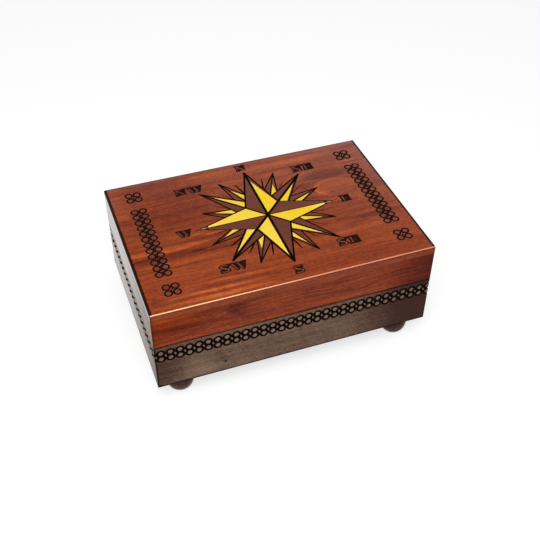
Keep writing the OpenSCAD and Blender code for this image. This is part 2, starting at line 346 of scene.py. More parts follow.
rose = {
    "centre": (4.7, 2.2),
    # inner corner radius, its angle from the axis, groove half width and depth, the axis groove's
    # half width and depth, bare strip round the yellow, then the axes and the tip radii
    "halfWinds": (32.5, 11.25, 0.75, 0.55, 0.75, 0.5, 1,
                  (23.9, 68, 111.6, 156.4, 204.9, 248.3, 290.9, 334.2),
                  (60.5, 58.5, 58, 61.5, 61.5, 60.5, 56, 62)),
    "diagonals": (23.5, 22.5, 0.85, 0.62, 0.85, 0.6, 1.2,
                  (44.5, 135.7, 225.2, 314.8), (65, 66.4, 65.8, 66.3)),
    "cardinals": (21.1, 45, 0.95, 0.65, 1.3, 0.75, 1.25,
                  (0, 90, 180, 270), (64.2, 60.5, 63.2, 61.5)),
    # W and E: share of the outline's width on the brown and the yellow side, axis half width and
    # depth, bare strip, then the length, half width and depth of the fine lines at the tip
    "level": (0.55, 0.85, 0.6, 0.3, 0.4, 9, 0.32, 0.14),
    "dashes": ((-60.5, 1.9, -57.4, 2.4, 0.55, 0.3), (66.4, 2.7, 68.8, 2.4, 0.5, 0.25)),
    # how much further each layer's yellow tips stand back
    "drawnBack": ((8, 2, 3, 4, 8, 5, 3, 6), (2, 3, 0, 1), (6, 0, 0.5, 0)),
    # the quarter winds are single strokes: axis and size, then inner and tip radius
    "quarterWinds": ((13.4, 0.9), (35, 0.5), (54.5, 0.6), (78.75, 0.4), (102, 0.5), (123.75, 0.5),
                     (144.6, 0.7), (166.9, 1), (194.8, 1), (216.3, 1), (235.6, 1), (258.75, 0.5),
                     (281.25, 0.4), (303.75, 0.5), (324.5, 0.5), (344.9, 1)),
    "quarterReach": (36, 52),
    "quarterCut": (0.92, 0.56),
    "quarterTips": (5, 8, 0.6),  # before the tip: end of the stroke, start of the fine one, its share
    "heavyLine": (64, 1.3, 0.75),  # SW to NE through the centre: reach, half width, depth
}


def rosePoint(inner, splay, axis, tip):
    # kite: centre, the left inner corner, the tip, the right inner corner; angles from N, clockwise
    cx, cy = rose["centre"]
    out = []
    for radius, angle in ((0, 0), (inner, axis - splay), (tip, axis), (inner, axis + splay)):
        turn = math.radians(angle)
        out.append((cx + radius * math.sin(turn), cy + radius * math.cos(turn)))
    return np.array(out)


def inside(spots, shape):
    # on the same side of all the shape's sides, walked round
    a, b = shape, np.roll(shape, -1, axis=0)
    side = (b[:, 0] - a[:, 0]) * (spots[:, None, 1] - a[:, 1])
    side -= (b[:, 1] - a[:, 1]) * (spots[:, None, 0] - a[:, 0])
    return (side < -1e-4).all(1) | (side > 1e-4).all(1)


def quarterStrokes():
    # each quarter wind is a stroke along its axis and a finer one that runs on to the tip
    cx, cy = rose["centre"]
    start, end = rose["quarterReach"]
    half, deep = rose["quarterCut"]
    strokeEnd, fineStart, fineShare = rose["quarterTips"]
    lines = []
    for axis, share in rose["quarterWinds"]:
        u, v = math.sin(math.radians(axis)), math.cos(math.radians(axis))
        for first, last, part in ((start, end - strokeEnd, 1), (end - fineStart, end, fineShare)):
            lines.append((cx + u * first, cy + v * first, cx + u * last, cy + v * last,
                          half * part * share, deep * part * share))
    return np.array(lines)


def roseLayers():
    # from the lowest layer up: the kites, their grooves and the yellow halves, drawn in from their
    # edges by the bare strip: point = middle + (1 - strip / inner radius) * (corner - middle)
    layers = []
    for name, standBack in zip(("halfWinds", "diagonals", "cardinals"), rose["drawnBack"]):
        inner, splay, half, deep, axisHalf, axisDeep, strip, axes, tips = rose[name]
        kites = [rosePoint(inner, splay, axis, tip) for axis, tip in zip(axes, tips)]
        lines, golds = [], []
        for number, kite in enumerate(kites):
            c, left, t, right = kite
            bare = strip
            if name == "cardinals":
                lines.append((*c, *left, half, deep))
            if name == "cardinals" and number % 2:
                brownSide, yellowSide, midHalf, midDeep, bare, fine, fineHalf, fineDeep = rose["level"]
                for a, wide, low in ((left, half * brownSide, deep), (c, midHalf, midDeep),
                                     (right, half * yellowSide, deep)):
                    b = t + (a - t) * fine / np.linalg.norm(a - t)
                    lines += [(*a, *b, wide, low), (*b, *t, fineHalf, fineDeep)]
            else:
                lines += [(*left, *t, half, deep), (*t, *right, half, deep), (*c, *t, axisHalf, axisDeep)]
            sides = np.linalg.norm([t - right, c - right, c - t], axis=1)
            middle = (sides[:, None] * np.array([c, t, right])).sum(0) / sides.sum()
            area = abs((t - c)[0] * (right - c)[1] - (t - c)[1] * (right - c)[0]) / 2
            gold = middle + (1 - bare * sides.sum() / 2 / area) * (np.array([c, t, right]) - middle)
            gold[1] += (c - t) / np.linalg.norm(c - t) * standBack[number]
            golds.append(gold)
        layers.append((kites, np.array(lines), golds))
    return layers


letterShapes = {
    # strokes: ax ay bx by half; the raised ones stand in a burnt ground that the others spread
    "N": {"raised": ((-3.3, 3.5, 2.9, -3.5, 0.48), (-3.1, -3, -3.1, 2.6, 0.2)),
          "ground": ((-3.2, -3.7, -3.2, 3.7, 0.3), (-3.2, 0, 3.2, 0, 3), (3.2, -3.7, 3.2, 3.7, 0.3),
                     (-4.4, -3.7, -1.9, -3.7, 0.25), (-4.5, 3.7, -2.6, 3.7, 0.25),
                     (1.9, 3.7, 4.4, 3.7, 0.25))},
    "E": {"raised": ((-1.9, -3.2, -1.9, 3.2, 0.48), (0.9, -0.9, 0.9, 0.9, 0.15)),
          "ground": ((-4.6, 3.7, 4, 3.7, 0.25), (-4.6, -3.7, 4, -3.7, 0.25), (-2.8, 0, 3.6, 0, 3.2),
                     (-3, -3.7, -3, 3.7, 0.3))},
    "S": {"raised": ((2.3, 3, 1.2, 3.5, 0.3), (1.2, 3.5, -1, 3.5, 0.36), (-1, 3.5, -2.6, 2.8, 0.42),
                     (-2.6, 2.8, -2.6, 1.5, 0.52), (-2.6, 1.5, 2.6, -1.4, 0.55),
                     (2.6, -1.4, 2.6, -2.6, 0.5), (2.6, -2.6, 1, -3.5, 0.42),
                     (1, -3.5, -1.4, -3.4, 0.36), (-1.4, -3.4, -2.6, -2.7, 0.3)),
          "ground": ((3.4, 3.8, 3.4, 1.6, 0.3), (-3.5, -3.8, -3.5, -1.6, 0.3), (-2.3, 0, 2.3, 0, 2.8),
                     (-2.1, 3.6, 2.4, 3.6, 0.45), (-2.4, -3.6, 2.1, -3.6, 0.45),
                     (-3.1, 2.9, -3.1, 1.4, 0.6), (3.1, -2.9, 3.1, -1.4, 0.6))},
    "W": {"raised": ((-4.9, 3.2, -2.5, -3.3, 0.5), (-0.5, 3.2, 1.9, -3.3, 0.5)),
          "ground": ((-5.2, 3.6, -2.4, -3.7, 0.5), (-2, -3.6, 0.1, 2.6, 0.5),
                     (-0.7, 3.6, 2.1, -3.7, 0.5), (2.5, -3.6, 4.9, 3.6, 0.4),
                     (-6.1, 3.7, -3.8, 3.7, 0.25), (-3.2, 1.6, 3.4, 1.6, 1.9),
                     (3.6, 3.7, 5.9, 3.7, 0.25))},
}
words = {
    # the centre and the size of each letter
    "N": ((3.7, 74.4, 1),), "E": ((76.4, 1.9, 1),),
    "S": ((4.6, -71, 1.04),), "W": ((-69, 1.6, 1.02),),
    "NE": ((52.1, 56.9, 1.08), (62.6, 56.9, 1.08)), "SE": ((50.6, -51.8, 1.1), (60.9, -51.8, 1.1)),
    "SW": ((-50.6, -51.1, 1.08), (-38.6, -51.1, 1.08)), "NW": ((-57.2, 57.2, 1.08), (-43.8, 57.2, 1.08)),
}
letterCut = {
    "wall": 0.2,    # width of the sloping wall round the raised strokes and at the ground's rim
    "reach": 0.95,  # how far the ground's strokes are spread
    "deep": 0.22,
}


def letterStrokes(kind):
    out = []
    for word, places in words.items():
        for letter, (x, y, size) in zip(word, places):
            for ax, ay, bx, by, half in letterShapes[letter][kind]:
                out.append((x + ax * size, y + ay * size, x + bx * size, y + by * size, half * size))
    return np.array(out)


def boxAway(spots, strokes):
    # distance to the nearest square-ended stroke, less than zero inside it
    a, b, half = strokes[:, 0:2], strokes[:, 2:4], strokes[:, 4]
    run = np.linalg.norm(b - a, axis=1)
    along = (b - a) / run[:, None]
    off = spots[:, None] - (a + b) / 2
    u = abs((off * along).sum(2)) - run / 2
    v = abs(off[..., 0] * along[:, 1] - off[..., 1] * along[:, 0]) - half
    return (np.hypot(np.maximum(u, 0), np.maximum(v, 0)) + np.minimum(np.maximum(u, v), 0)).min(1)


def strokeEdges(strokes, grow):
    # the stroke's rectangle, grown by grow on every side
    a, b, half = strokes[:, 0:2], strokes[:, 2:4], strokes[:, 4:5] + grow
    along, side = alongAndAcross(a, b)
    a, b = a - along * grow, b + along * grow
    spots = np.stack([a + side * half, b + side * half, b - side * half, a - side * half], 1)
    links = np.array([[0, 1], [1, 2], [2, 3], [3, 0]])
    edges = links[None] + 4 * np.arange(len(strokes))[:, None, None]
    return spots.reshape(-1, 2), edges.reshape(-1, 2)


columns = {
    # x of the two sub-columns, first ring, ring pitch, number of rings
    "left": ((-101.5, -94.4), -40.7, 7.6, 12),
    "right": ((97.2, 104.4), -39.2, 7.5, 12),
    "stamps": ((-97.6, 63.4), (99.6, 62.9), (-96.5, -60), (101.7, -59.5)),
    "stampHalf": 3.55,
    "radius": 2.9, "half": 1, "deep": 0.36,
    "stroke": (0.7, 0.52),  # half width and depth of the strokes between rings
    "stampStroke": (1.6, 2.4, 0.55, 0.5),  # reach along x and y, half width and depth
}
# how brown the stained places are; round a stamp nothing is, within so many half stamps
brownShare = {"letters": 0.5, "columns": 0.6, "layers": (0.85, 1, 1), "stampClear": 2.2}


def columnCarving():
    cut = [columns[key] for key in ("radius", "half", "deep")]
    rings, lines = [], []
    for side in ("left", "right"):
        (inner, outer), startY, pitch, count = columns[side]
        along = startY + pitch * np.arange(count)
        lying, strokes = knotBand(along, (-inner, -outer), *cut, *columns["stroke"])
        # the band turned a quarter: (u, v) becomes (-v, u)
        rings.append(np.column_stack([-lying[:, 1], lying[:, 0], lying[:, 2:]]))
        lines.append(np.column_stack([-strokes[:, 1], strokes[:, 0],
                                      -strokes[:, 3], strokes[:, 2], strokes[:, 4:]]))
    h = columns["stampHalf"]
    reachX, reachY, half, deep = columns["stampStroke"]
    for x, y in columns["stamps"]:
        rings.append(np.array([(x + i * h, y + j * h, *cut) for i in (-1, 1) for j in (-1, 1)]))
        lines.append(np.array([(x - reachX, y - reachY, x + reachX, y + reachY, half, deep)]))
    return np.concatenate(rings), np.concatenate(lines)


def carvedTop(material):
    spots, corners = mergedTriangles("lid_top_panel")
    flatTop = (spots[corners][:, :, 2] > topHeight - within["top"]).all(1)
    rim = rimEdges(corners[flatTop])
    used, edges = np.unique(rim, return_inverse=True)
    outline = (spots[used, :2], edges.reshape(-1, 2))
    layers = roseLayers()
    rings, lines = columnCarving()
    raised, ground = letterStrokes("raised"), letterStrokes("ground")
    cx, cy = rose["centre"]
    reach, half, deep = rose["heavyLine"]
    reach /= math.sqrt(2)
    heavy = np.array([(cx - reach, cy - reach, cx + reach, cy + reach, half, deep)])
    quarters = np.concatenate([quarterStrokes(), np.array(rose["dashes"])])

    parts = [outline, lineEdges(lines), ringEdges(rings), lineEdges(heavy), lineEdges(quarters)]
    wall, edge = letterCut["wall"], letterCut["reach"]
    parts += [strokeEdges(strokes, grow) for strokes, grow in
              ((raised, 0), (raised, wall), (ground, edge - wall), (ground, edge))]
    for kites, cuts, golds in layers:
        parts.append(lineEdges(cuts))
        threes = np.arange(3 * len(golds)).reshape(-1, 3)
        edges = np.stack([threes, np.roll(threes, -1, axis=1)], 2).reshape(-1, 2)
        parts.append((np.concatenate(golds), edges))
    flat, sheet = fillFlat(*stackEdges(parts), outline[1])

    depth = np.maximum(ringDepth(flat, rings), lineDepth(flat, lines))
    above = np.zeros(len(flat), bool)
    for kites, cuts, golds in layers[::-1]:
        depth = np.maximum(depth, np.where(above, 0, lineDepth(flat, cuts)))
        for kite in kites:
            above |= inside(flat, kite)
    depth = np.maximum(depth, np.where(above, 0, lineDepth(flat, quarters)))
    depth = np.maximum(depth, lineDepth(flat, heavy))
    steps = np.minimum(boxAway(flat, raised), edge - boxAway(flat, ground)) / wall
    depth = np.maximum(depth, letterCut["deep"] * np.clip(steps, 0, 1))

    centre = flat[sheet].mean(1)
    yellow, brown = np.zeros(len(sheet)), np.zeros(len(sheet))
    brown[boxAway(centre, ground) < edge] = brownShare["letters"]
    for side in ("left", "right"):
        (inner, outer), startY, pitch, count = columns[side]
        near = abs(centre[:, 1] - startY - pitch * (count - 1) / 2) < pitch * count / 2
        brown[near & bandFills(centre, rings, (inner + outer) / 2, 0)] = brownShare["columns"]
    for x, y in columns["stamps"]:
        brown[abs(centre - (x, y)).max(1) < brownShare["stampClear"] * columns["stampHalf"]] = 0
    brown[centreAway(centre, rings).min(1) < columns["radius"]] = brownShare["columns"]
    for layer, (kites, cuts, golds) in enumerate(layers):
        for kite in kites:
            here = inside(centre, kite)
            yellow[here], brown[here] = 0, brownShare["layers"][layer]
        for gold in golds:
            here = inside(centre, gold)
            yellow[here], brown[here] = 1, 0
    placed = snapTo(np.column_stack([flat, topHeight - depth]), spots[used])
    parts = [(spots, corners[~flatTop]), (placed, sheet)]
    piece = makePiece("carved_lid_top", parts, depth, yellow, brown, material, "lid")
    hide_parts("lid_top_panel")


# Materials

def tone(screenColour):
    # a screen colour, 0 to 255, as the light it stands for
    shares = [v / 255 for v in screenColour]
    return tuple(v / 12.92 if v <= 0.04045 else ((v + 0.055) / 1.055) ** 2.4 for v in shares) + (1,)


def feed(node, inputs):
    # a socket is linked, a plain value set
    for key, value in inputs.items():
        if isinstance(value, bpy.types.NodeSocket):
            node.id_data.links.new(value, node.inputs[key])
        else:
            node.inputs[key].default_value = value


def put(kind, inputs, out=0, tree=None, **props):
    # a new node's output; without a tree it joins the one that its inputs come from
    if tree is None:
        tree = [v for v in inputs.values() if isinstance(v, bpy.types.NodeSocket)][0].id_data
    made = tree.nodes.new("ShaderNode" + kind)
    for name, value in props.items():
        setattr(made, name, value)
    feed(made, inputs)
    return made.outputs[out]


def calc(operation, a, b=0, c=0):
    return put("Math", {0: a, 1: b, 2: c}, operation=operation)


def times(a, b):
    return calc("MULTIPLY", a, b)


def vector(operation, a, b=None, out=0):
    inputs = {0: a} if b is None else {0: a, 1: b}
    return put("VectorMath", inputs, out, operation=operation)


def mix(share, a, b, way="MIX"):
    return put("Mix", {0: share, 6: a, 7: b}, out=2, data_type="RGBA", blend_type=way)


def spread(value, low, high, toLow=0, toHigh=1):
    return put("MapRange", {0: value, 1: low, 2: high, 3: toLow, 4: toHigh},
               interpolation_type="SMOOTHSTEP")


def noise(where, scale, detail=2, rough=0.5):
    # scale holds how many millimetres one swell takes along x, y and z
    at = put("Mapping", {0: where, 3: tuple(1 / s for s in scale)})
    return put("TexNoise", {"Vector": at, "Scale": 1, "Detail": detail, "Roughness": rough})


def ovalAway(where, x, y, z, rx, ry, rz):
    # how far out a point lies in an oval: 0 in its middle, 1 on its rim
    off = vector("SUBTRACT", where, (x, y, z))
    return vector("LENGTH", vector("MULTIPLY", off, (1 / rx, 1 / ry, 1 / rz)), out=1)


def ramp(share, stops):
    made = put("ValToRGB", {0: share})
    bar = made.node.color_ramp
    bar.elements[0].position, bar.elements[0].color = stops[0]
    bar.elements[1].position, bar.elements[1].color = stops[-1]
    for place, colour in stops[1:-1]:
        bar.elements.new(place).color = colour
    return made


def newMaterial(name):
    # the material, its shader and the node's own coordinates in millimetres
    material = bpy.data.materials.new(name)
    material.use_nodes = True
    where = put("TexCoord", {}, 3, material.node_tree)
    at = put("Mapping", {0: where, 3: (1000, 1000, 1000)})
    return material, material.node_tree.nodes["Principled BSDF"], at


woodGrain = {
    # millimetres that one swell takes along, across and through the grain, detail, roughness
    "bands": ((260, 12, 12), 3, 0.55),
    "streaks": ((110, 3.4, 3.4), 2, 0.6),
    "lines": ((46, 1.1, 1.1), 2, 0.6),
    "ripple": ((4.5, 26, 26), 2, 0.6),
    "speckle": ((2.4, 0.9, 0.9), 1, 0.6),
    "pores": ((9, 0.45, 0.45), 1, 0.5),
    "streakEnds": (0.36, 0.64),
    "poreEnds": (0.56, 0.7),
    "rippleTurn": (0, 0.4, 0.25),
    # the slow swell, and how far it bends the grain and the placed clouds
    "swell": (1 / 70, 1 / 24, 1 / 24),
    "bend": (14, 11, 11),
    "cloudBend": (6, 3.6, 3.6),
    "stops": (0.1, 0.36, 0.55, 0.78, 1),  # where the look's five tones stand
}


def grainColour(at, look, grain):
    # share = 0.5 + sum of weight * (pattern - 0.5) + the placed clouds; the share picks the tone,
    # the placed tints multiply it and the pores darken it
    turned = at
    if grain == "y":
        turned = put("Mapping", {0: at, 2: (0, 0, math.radians(90))})
    swell = put("Mapping", {0: turned, 3: woodGrain["swell"]})
    swell = put("TexNoise", {"Vector": swell, "Scale": 1, "Detail": 1}, out=1)
    swell = vector("SUBTRACT", swell, (0.5, 0.5, 0.5))
    loose = vector("ADD", at, vector("MULTIPLY", swell, woodGrain["cloudBend"]))
    wavy = vector("ADD", turned, vector("MULTIPLY", swell, woodGrain["bend"]))
    tilted = put("Mapping", {0: turned, 2: woodGrain["rippleTurn"]})
    shown = {}
    for kind, place in (("bands", wavy), ("streaks", wavy), ("lines", wavy), ("ripple", tilted),
                        ("speckle", turned), ("pores", turned)):
        shown[kind] = noise(place, *woodGrain[kind])
    shown["streaks"] = spread(shown["streaks"], *woodGrain["streakEnds"])
    share = 0.5
    for kind in ("bands", "streaks", "lines", "ripple", "speckle"):
        part = calc("MULTIPLY_ADD", shown[kind], look[kind], -0.5 * look[kind])
        share = calc("ADD", share, part)
    for *oval, strength, core in look["clouds"]:
        share = calc("ADD", share, spread(ovalAway(loose, *oval), core, 1, strength, 0))
    colour = ramp(share, list(zip(woodGrain["stops"], (tone(c) for c in look["tones"]))))
    for *oval, core, tint in look["tints"]:
        colour = mix(spread(ovalAway(loose, *oval), core, 1, 1, 0), colour, (*tint, 1), "MULTIPLY")
    dots = spread(shown["pores"], *woodGrain["poreEnds"], 0, look["pores"])
    return mix(dots, colour, tone(look["poreColour"])), shown["bands"], shown["lines"], dots


paintedEdges = {
    # painted shade and dark reflections on the edges: an arris is painted dark where the distances
    # to its two faces add up to little: the sums, in millimetres, at which this shade is full and gone
    "upright": (0.9, 1.7), "topSides": (1.9, 2.7), "topBack": (0.9, 1.7), "foot": (1.2, 2.2),
    "seam": (0.5, 1.2), "seamLift": 0.45, "seamInward": 0.6,
    "uprightSpan": (-100, 100),  # x over which the left uprights' painted shade becomes the right ones'
    "footSpan": (-119.5, -112), "footShare": 0.55,  # the line at the foot is widest at the left
    # a faint painted dark line on the front, this far under the painted highlight
    "under": (0.2, 0.7), "underDrop": 1.4, "underInward": 3, "underShare": 0.5,
    # a painted highlight on the edge between front and top, standing in for a lamp's reflection
    # there; its share is the look's strength * (0.8 * bands + 0.6)
    "paintedHighlight": (0.66, 0.82), "paintedHighlightBands": (0.8, 0.6),
    "paintedHighlightSpan": (-110, 60),  # x over which its colour changes
}


def paintedEdgeLight(at, colour, look, bands):
    # painted shade and dark reflections on the arrises and a painted highlight on the front-top
    # edge; with the colour come the painted shade's share and the distances from the sides and the front
    x, y, z = put("SeparateXYZ", {0: at}).node.outputs
    fromSide = calc("SUBTRACT", boxWide / 2, calc("ABSOLUTE", x))
    fromEnd = calc("SUBTRACT", boxDeep / 2, calc("ABSOLUTE", y))
    fromWall = calc("MINIMUM", fromSide, fromEnd)
    fromFront = calc("ADD", y, boxDeep / 2)
    fromBack = calc("SUBTRACT", boxDeep / 2, y)
    fromTop = calc("SUBTRACT", topHeight, z)
    fromFloor = calc("SUBTRACT", z, baseFloor)
    fromFloor = times(fromFloor, spread(x, *paintedEdges["footSpan"], paintedEdges["footShare"], 1))
    fromSeam = calc("ABSOLUTE", calc("SUBTRACT", z, seamHeight + paintedEdges["seamLift"]))
    fromSeam = calc("MULTIPLY_ADD", fromWall, paintedEdges["seamInward"], fromSeam)
    # painted shade on the uprights, then on the top's sides and back, along the base's foot, on the lid's
    # lower edge at the seam and under the highlight
    edgeShade = spread(calc("ADD", fromSide, fromEnd), *paintedEdges["upright"], 1, 0)
    edgeShade = times(edgeShade, spread(x, *paintedEdges["uprightSpan"], look["leftEdgeShadeStrength"], look["edgeShadeStrength"]))
    under = calc("ABSOLUTE", calc("SUBTRACT", fromTop, paintedEdges["underDrop"]))
    under = calc("MULTIPLY_ADD", fromFront, paintedEdges["underInward"], under)
    for near, kind, share in ((calc("ADD", fromSide, fromTop), "topSides", 1),
                              (calc("ADD", fromBack, fromTop), "topBack", 1),
                              (calc("ADD", fromWall, fromFloor), "foot", 1),
                              (fromSeam, "seam", 1), (under, "under", paintedEdges["underShare"])):
        edgeShade = calc("MAXIMUM", edgeShade, spread(near, *paintedEdges[kind], share * look["edgeShadeStrength"], 0))
    # the painted highlight along the front-top edge, its colour changing along x
    paintedHighlight = spread(calc("ADD", fromFront, fromTop), *paintedEdges["paintedHighlight"], look["paintedHighlight"], 0)
    edgeShade = times(edgeShade, calc("SUBTRACT", 1, paintedHighlight))
    colour = mix(edgeShade, colour, tone(look["edgeShadeColour"]))
    paintedHighlight = times(paintedHighlight, calc("MULTIPLY_ADD", bands, *paintedEdges["paintedHighlightBands"]))
    bare = spread(x, *paintedEdges["paintedHighlightSpan"])
    bare = mix(bare, tone(look["paintedHighlightColour"]), tone(look["paintedHighlightEnd"]))
    return mix(paintedHighlight, colour, bare), edgeShade, fromSide, fromFront


paintwork = {
    "lines": (0.24, 0.88),  # the yellow's shade = 0.24 * lines + 0.88
    "sideFade": (-30, 30, 0.18),  # x + y from the rose's centre: faded, full, most fading
    "tipFade": (34, 60, 0.75),  # distance from its centre: full, faded, most fading
    "brownWood": 0.3,  # share of the wood's own colour in the brown
    "burn": (0, 0.12),  # depths over which a groove turns from wood to scorched
    "char": (0.08, 0.34),  # and from scorched to burnt
    "knot": (0.4, 1, 0.95),  # a knot's dark core, rim and strength
}


def carvedColour(at, colour, look, lines):
    # yellow and brown paint, burnt grooves and knots
    marks = put("Attribute", {}, 0, at.id_data, attribute_name="carving")
    yellow, brown, deep = put("SeparateColor", {0: marks}).node.outputs
    shade = calc("MULTIPLY_ADD", lines, *paintwork["lines"])
    shade = put("CombineColor", {0: shade, 1: shade, 2: shade})
    fromRose = vector("SUBTRACT", at, (*rose["centre"], topHeight))
    low, high, most = paintwork["sideFade"]
    faded = spread(vector("DOT_PRODUCT", fromRose, (1, 1, 0), out=1), low, high, most, 0)
    low, high, most = paintwork["tipFade"]
    tips = spread(vector("LENGTH", fromRose, out=1), low, high, 0, most)
    paint = mix(calc("MAXIMUM", faded, tips), tone(look["paint"]), tone(look["paintTips"]))
    paint = mix(1, paint, shade, "MULTIPLY")
    stained = mix(paintwork["brownWood"], tone(look["brown"]), colour)
    colour = mix(brown, colour, stained)
    colour = mix(times(yellow, look["cover"]), colour, paint)
    burn = spread(deep, *paintwork["burn"])
    black = mix(spread(deep, *paintwork["char"]), tone(look["scorched"]), tone(look["burnt"]))
    colour = mix(burn, colour, black)
    core, rim, strength = paintwork["knot"]
    for oval in look["knots"]:
        heart = spread(ovalAway(at, *oval), core, rim, strength, 0)
        colour = mix(heart, colour, tone(look["burnt"]))
    return colour, burn


lacquer = {
    "lineRough": 0.16,  # how much the fine lines change the roughness
    "burnRough": 0.5,   # how much rougher a burnt groove is
    "frontEnds": (0, 80), "frontEndShare": 0.5,  # from the sides inward the front's shine grows
    "frontDepth": (0.05, 0.5),  # behind the front face its shine becomes the top's
    "sideSpan": (0, 105),  # from the front backward the sides' shine becomes full
    "lineRelief": 0.6, "poreRelief": -0.8, "reliefHeight": 0.0002,
}


def boxWood(name, look, grain="x", inside=False):
    # stained and lacquered wood with its grain along x or y; inside it has no painted edge shade or
    # highlight
    material, shader, at = newMaterial(name)
    colour, bands, lines, dots = grainColour(at, look, grain)
    if not inside:
        colour, edgeShade, fromSide, fromFront = paintedEdgeLight(at, colour, look, bands)
    colour, burn = carvedColour(at, colour, look, lines)
    gloss = calc("MULTIPLY_ADD", lines, lacquer["lineRough"], look["rough"] - lacquer["lineRough"] / 2)
    gloss = calc("ADD", gloss, times(burn, lacquer["burnRough"]))
    polish = times(calc("SUBTRACT", 1, burn), look["coat"])
    if not inside:
        polish = times(polish, calc("SUBTRACT", 1, edgeShade))
        # the front shines less than the top, and least near its two ends
        least = lacquer["frontEndShare"] * look["frontPolish"]
        shine = spread(fromSide, *lacquer["frontEnds"], least, look["frontPolish"])
        shine = spread(fromFront, *lacquer["frontDepth"], shine, 1)
        polish = times(polish, shine)
    if grain == "y":
        shine = spread(fromFront, *lacquer["sideSpan"], look["sidePolish"], 1)
        polish = times(polish, shine)
    relief = calc("ADD", times(lines, lacquer["lineRelief"]),
                  times(dots, lacquer["poreRelief"]))
    bump = put("Bump", {"Strength": look["bump"], "Distance": lacquer["reliefHeight"],
                        "Height": relief})
    feed(shader, {"Base Color": colour, "Roughness": gloss, "Specular IOR Level": look["specular"],
                  "Coat Weight": polish, "Coat Roughness": look["coatRough"],
                  "Coat IOR": look["coatIor"], "Normal": bump})
    return material


metals = {
    "line": 9, "blotch": (3.2, 3.2, 3.2),  # millimetres that a drawn line and a blotch take
    "dull": (0.45, 0.7, 0, 0.6), "lineRough": 0.2, "dullRough": 0.25,
    "bump": 0.2, "reliefHeight": 0.0001,
}


def metal(name, colour, worn, rough, scale):
    # metal with faint drawn lines along x, scale apart, and dull blotches
    material, shader, at = newMaterial(name)
    drawn = noise(at, (metals["line"], scale, scale), 2)
    dull = spread(noise(at, metals["blotch"], 3), *metals["dull"])
    level = calc("MULTIPLY_ADD", drawn, metals["lineRough"], rough - metals["lineRough"] / 2)
    level = calc("ADD", level, times(dull, metals["dullRough"]))
    bump = put("Bump", {"Strength": metals["bump"], "Distance": metals["reliefHeight"],
                        "Height": drawn})
    feed(shader, {"Base Color": mix(dull, tone(colour), tone(worn)), "Metallic": 1,
                  "Roughness": level, "Normal": bump})
    return material


lidLook = {
    "tones": ((86, 30, 15), (120, 47, 25), (148, 63, 33), (176, 80, 39), (212, 114, 58)),
    "bands": 0.4, "streaks": 0.16, "lines": 0.8, "ripple": 0.14, "speckle": 0.6,
    "pores": 0.35, "poreColour": (70, 24, 14),
    # strength and colour of the painted shade on the edges
    "edgeShadeStrength": 0.95, "leftEdgeShadeStrength": 0.5, "edgeShadeColour": (26, 12, 6),
    # the painted highlight on the front-top edge: its strength, its colour at the left and at the right
    "paintedHighlight": 0.95, "paintedHighlightColour": (255, 200, 146), "paintedHighlightEnd": (228, 146, 116),
    "paint": (249, 210, 36), "paintTips": (255, 238, 150), "cover": 0.97,
    "brown": (90, 56, 42), "scorched": (50, 27, 20), "burnt": (16, 6, 4),
    "rough": 0.38, "specular": 0.04, "coat": 0.95, "coatRough": 0.12, "coatIor": 1.2,
    "frontPolish": 0.38, "sidePolish": 0.35,
    "bump": 0.25, "knots": (),
    # the soft pale and dark places of the boards: x y z, radii, strength, solid core
    "clouds": (
        (-112, -83, 93, 46, 9, 8, 0.2, 0.2), (-100, -83, 79.5, 30, 9, 3.6, -0.18, 0.3),
        (-60, -83, 68, 80, 9, 4, 0.1, 0.3), (-53, -83, 90, 8, 9, 2.2, -0.42, 0.2),
        (-55, -83, 85.5, 7, 9, 1.6, -0.3, 0.2), (-50, -83, 80, 9, 9, 1.4, -0.22, 0.2),
        (-50, -83, 87, 18, 9, 15, -0.2, 0.1), (79, -83, 68, 24, 9, 4, 0.14, 0.2),
        # the last cloud, centred past the right end, is painted shade: the boards darker towards the
        # right
        (20, -83, 88, 50, 9, 5, -0.06, 0.2), (134, -83, 80, 70, 30, 80, -0.46, 0.1),
    ),
    # as the clouds, but the core and a colour that the wood is multiplied by
    # the first tint is painted warm light that makes the front's left more orange; the second is painted
    # shade towards the right end
    "tints": ((-128, -83, 94, 84, 9, 34, 0.4, (0.88, 0.66, 0.18)),
              (134, -83, 80, 70, 9, 80, 0.3, (0.95, 0.66, 0.4))),
}
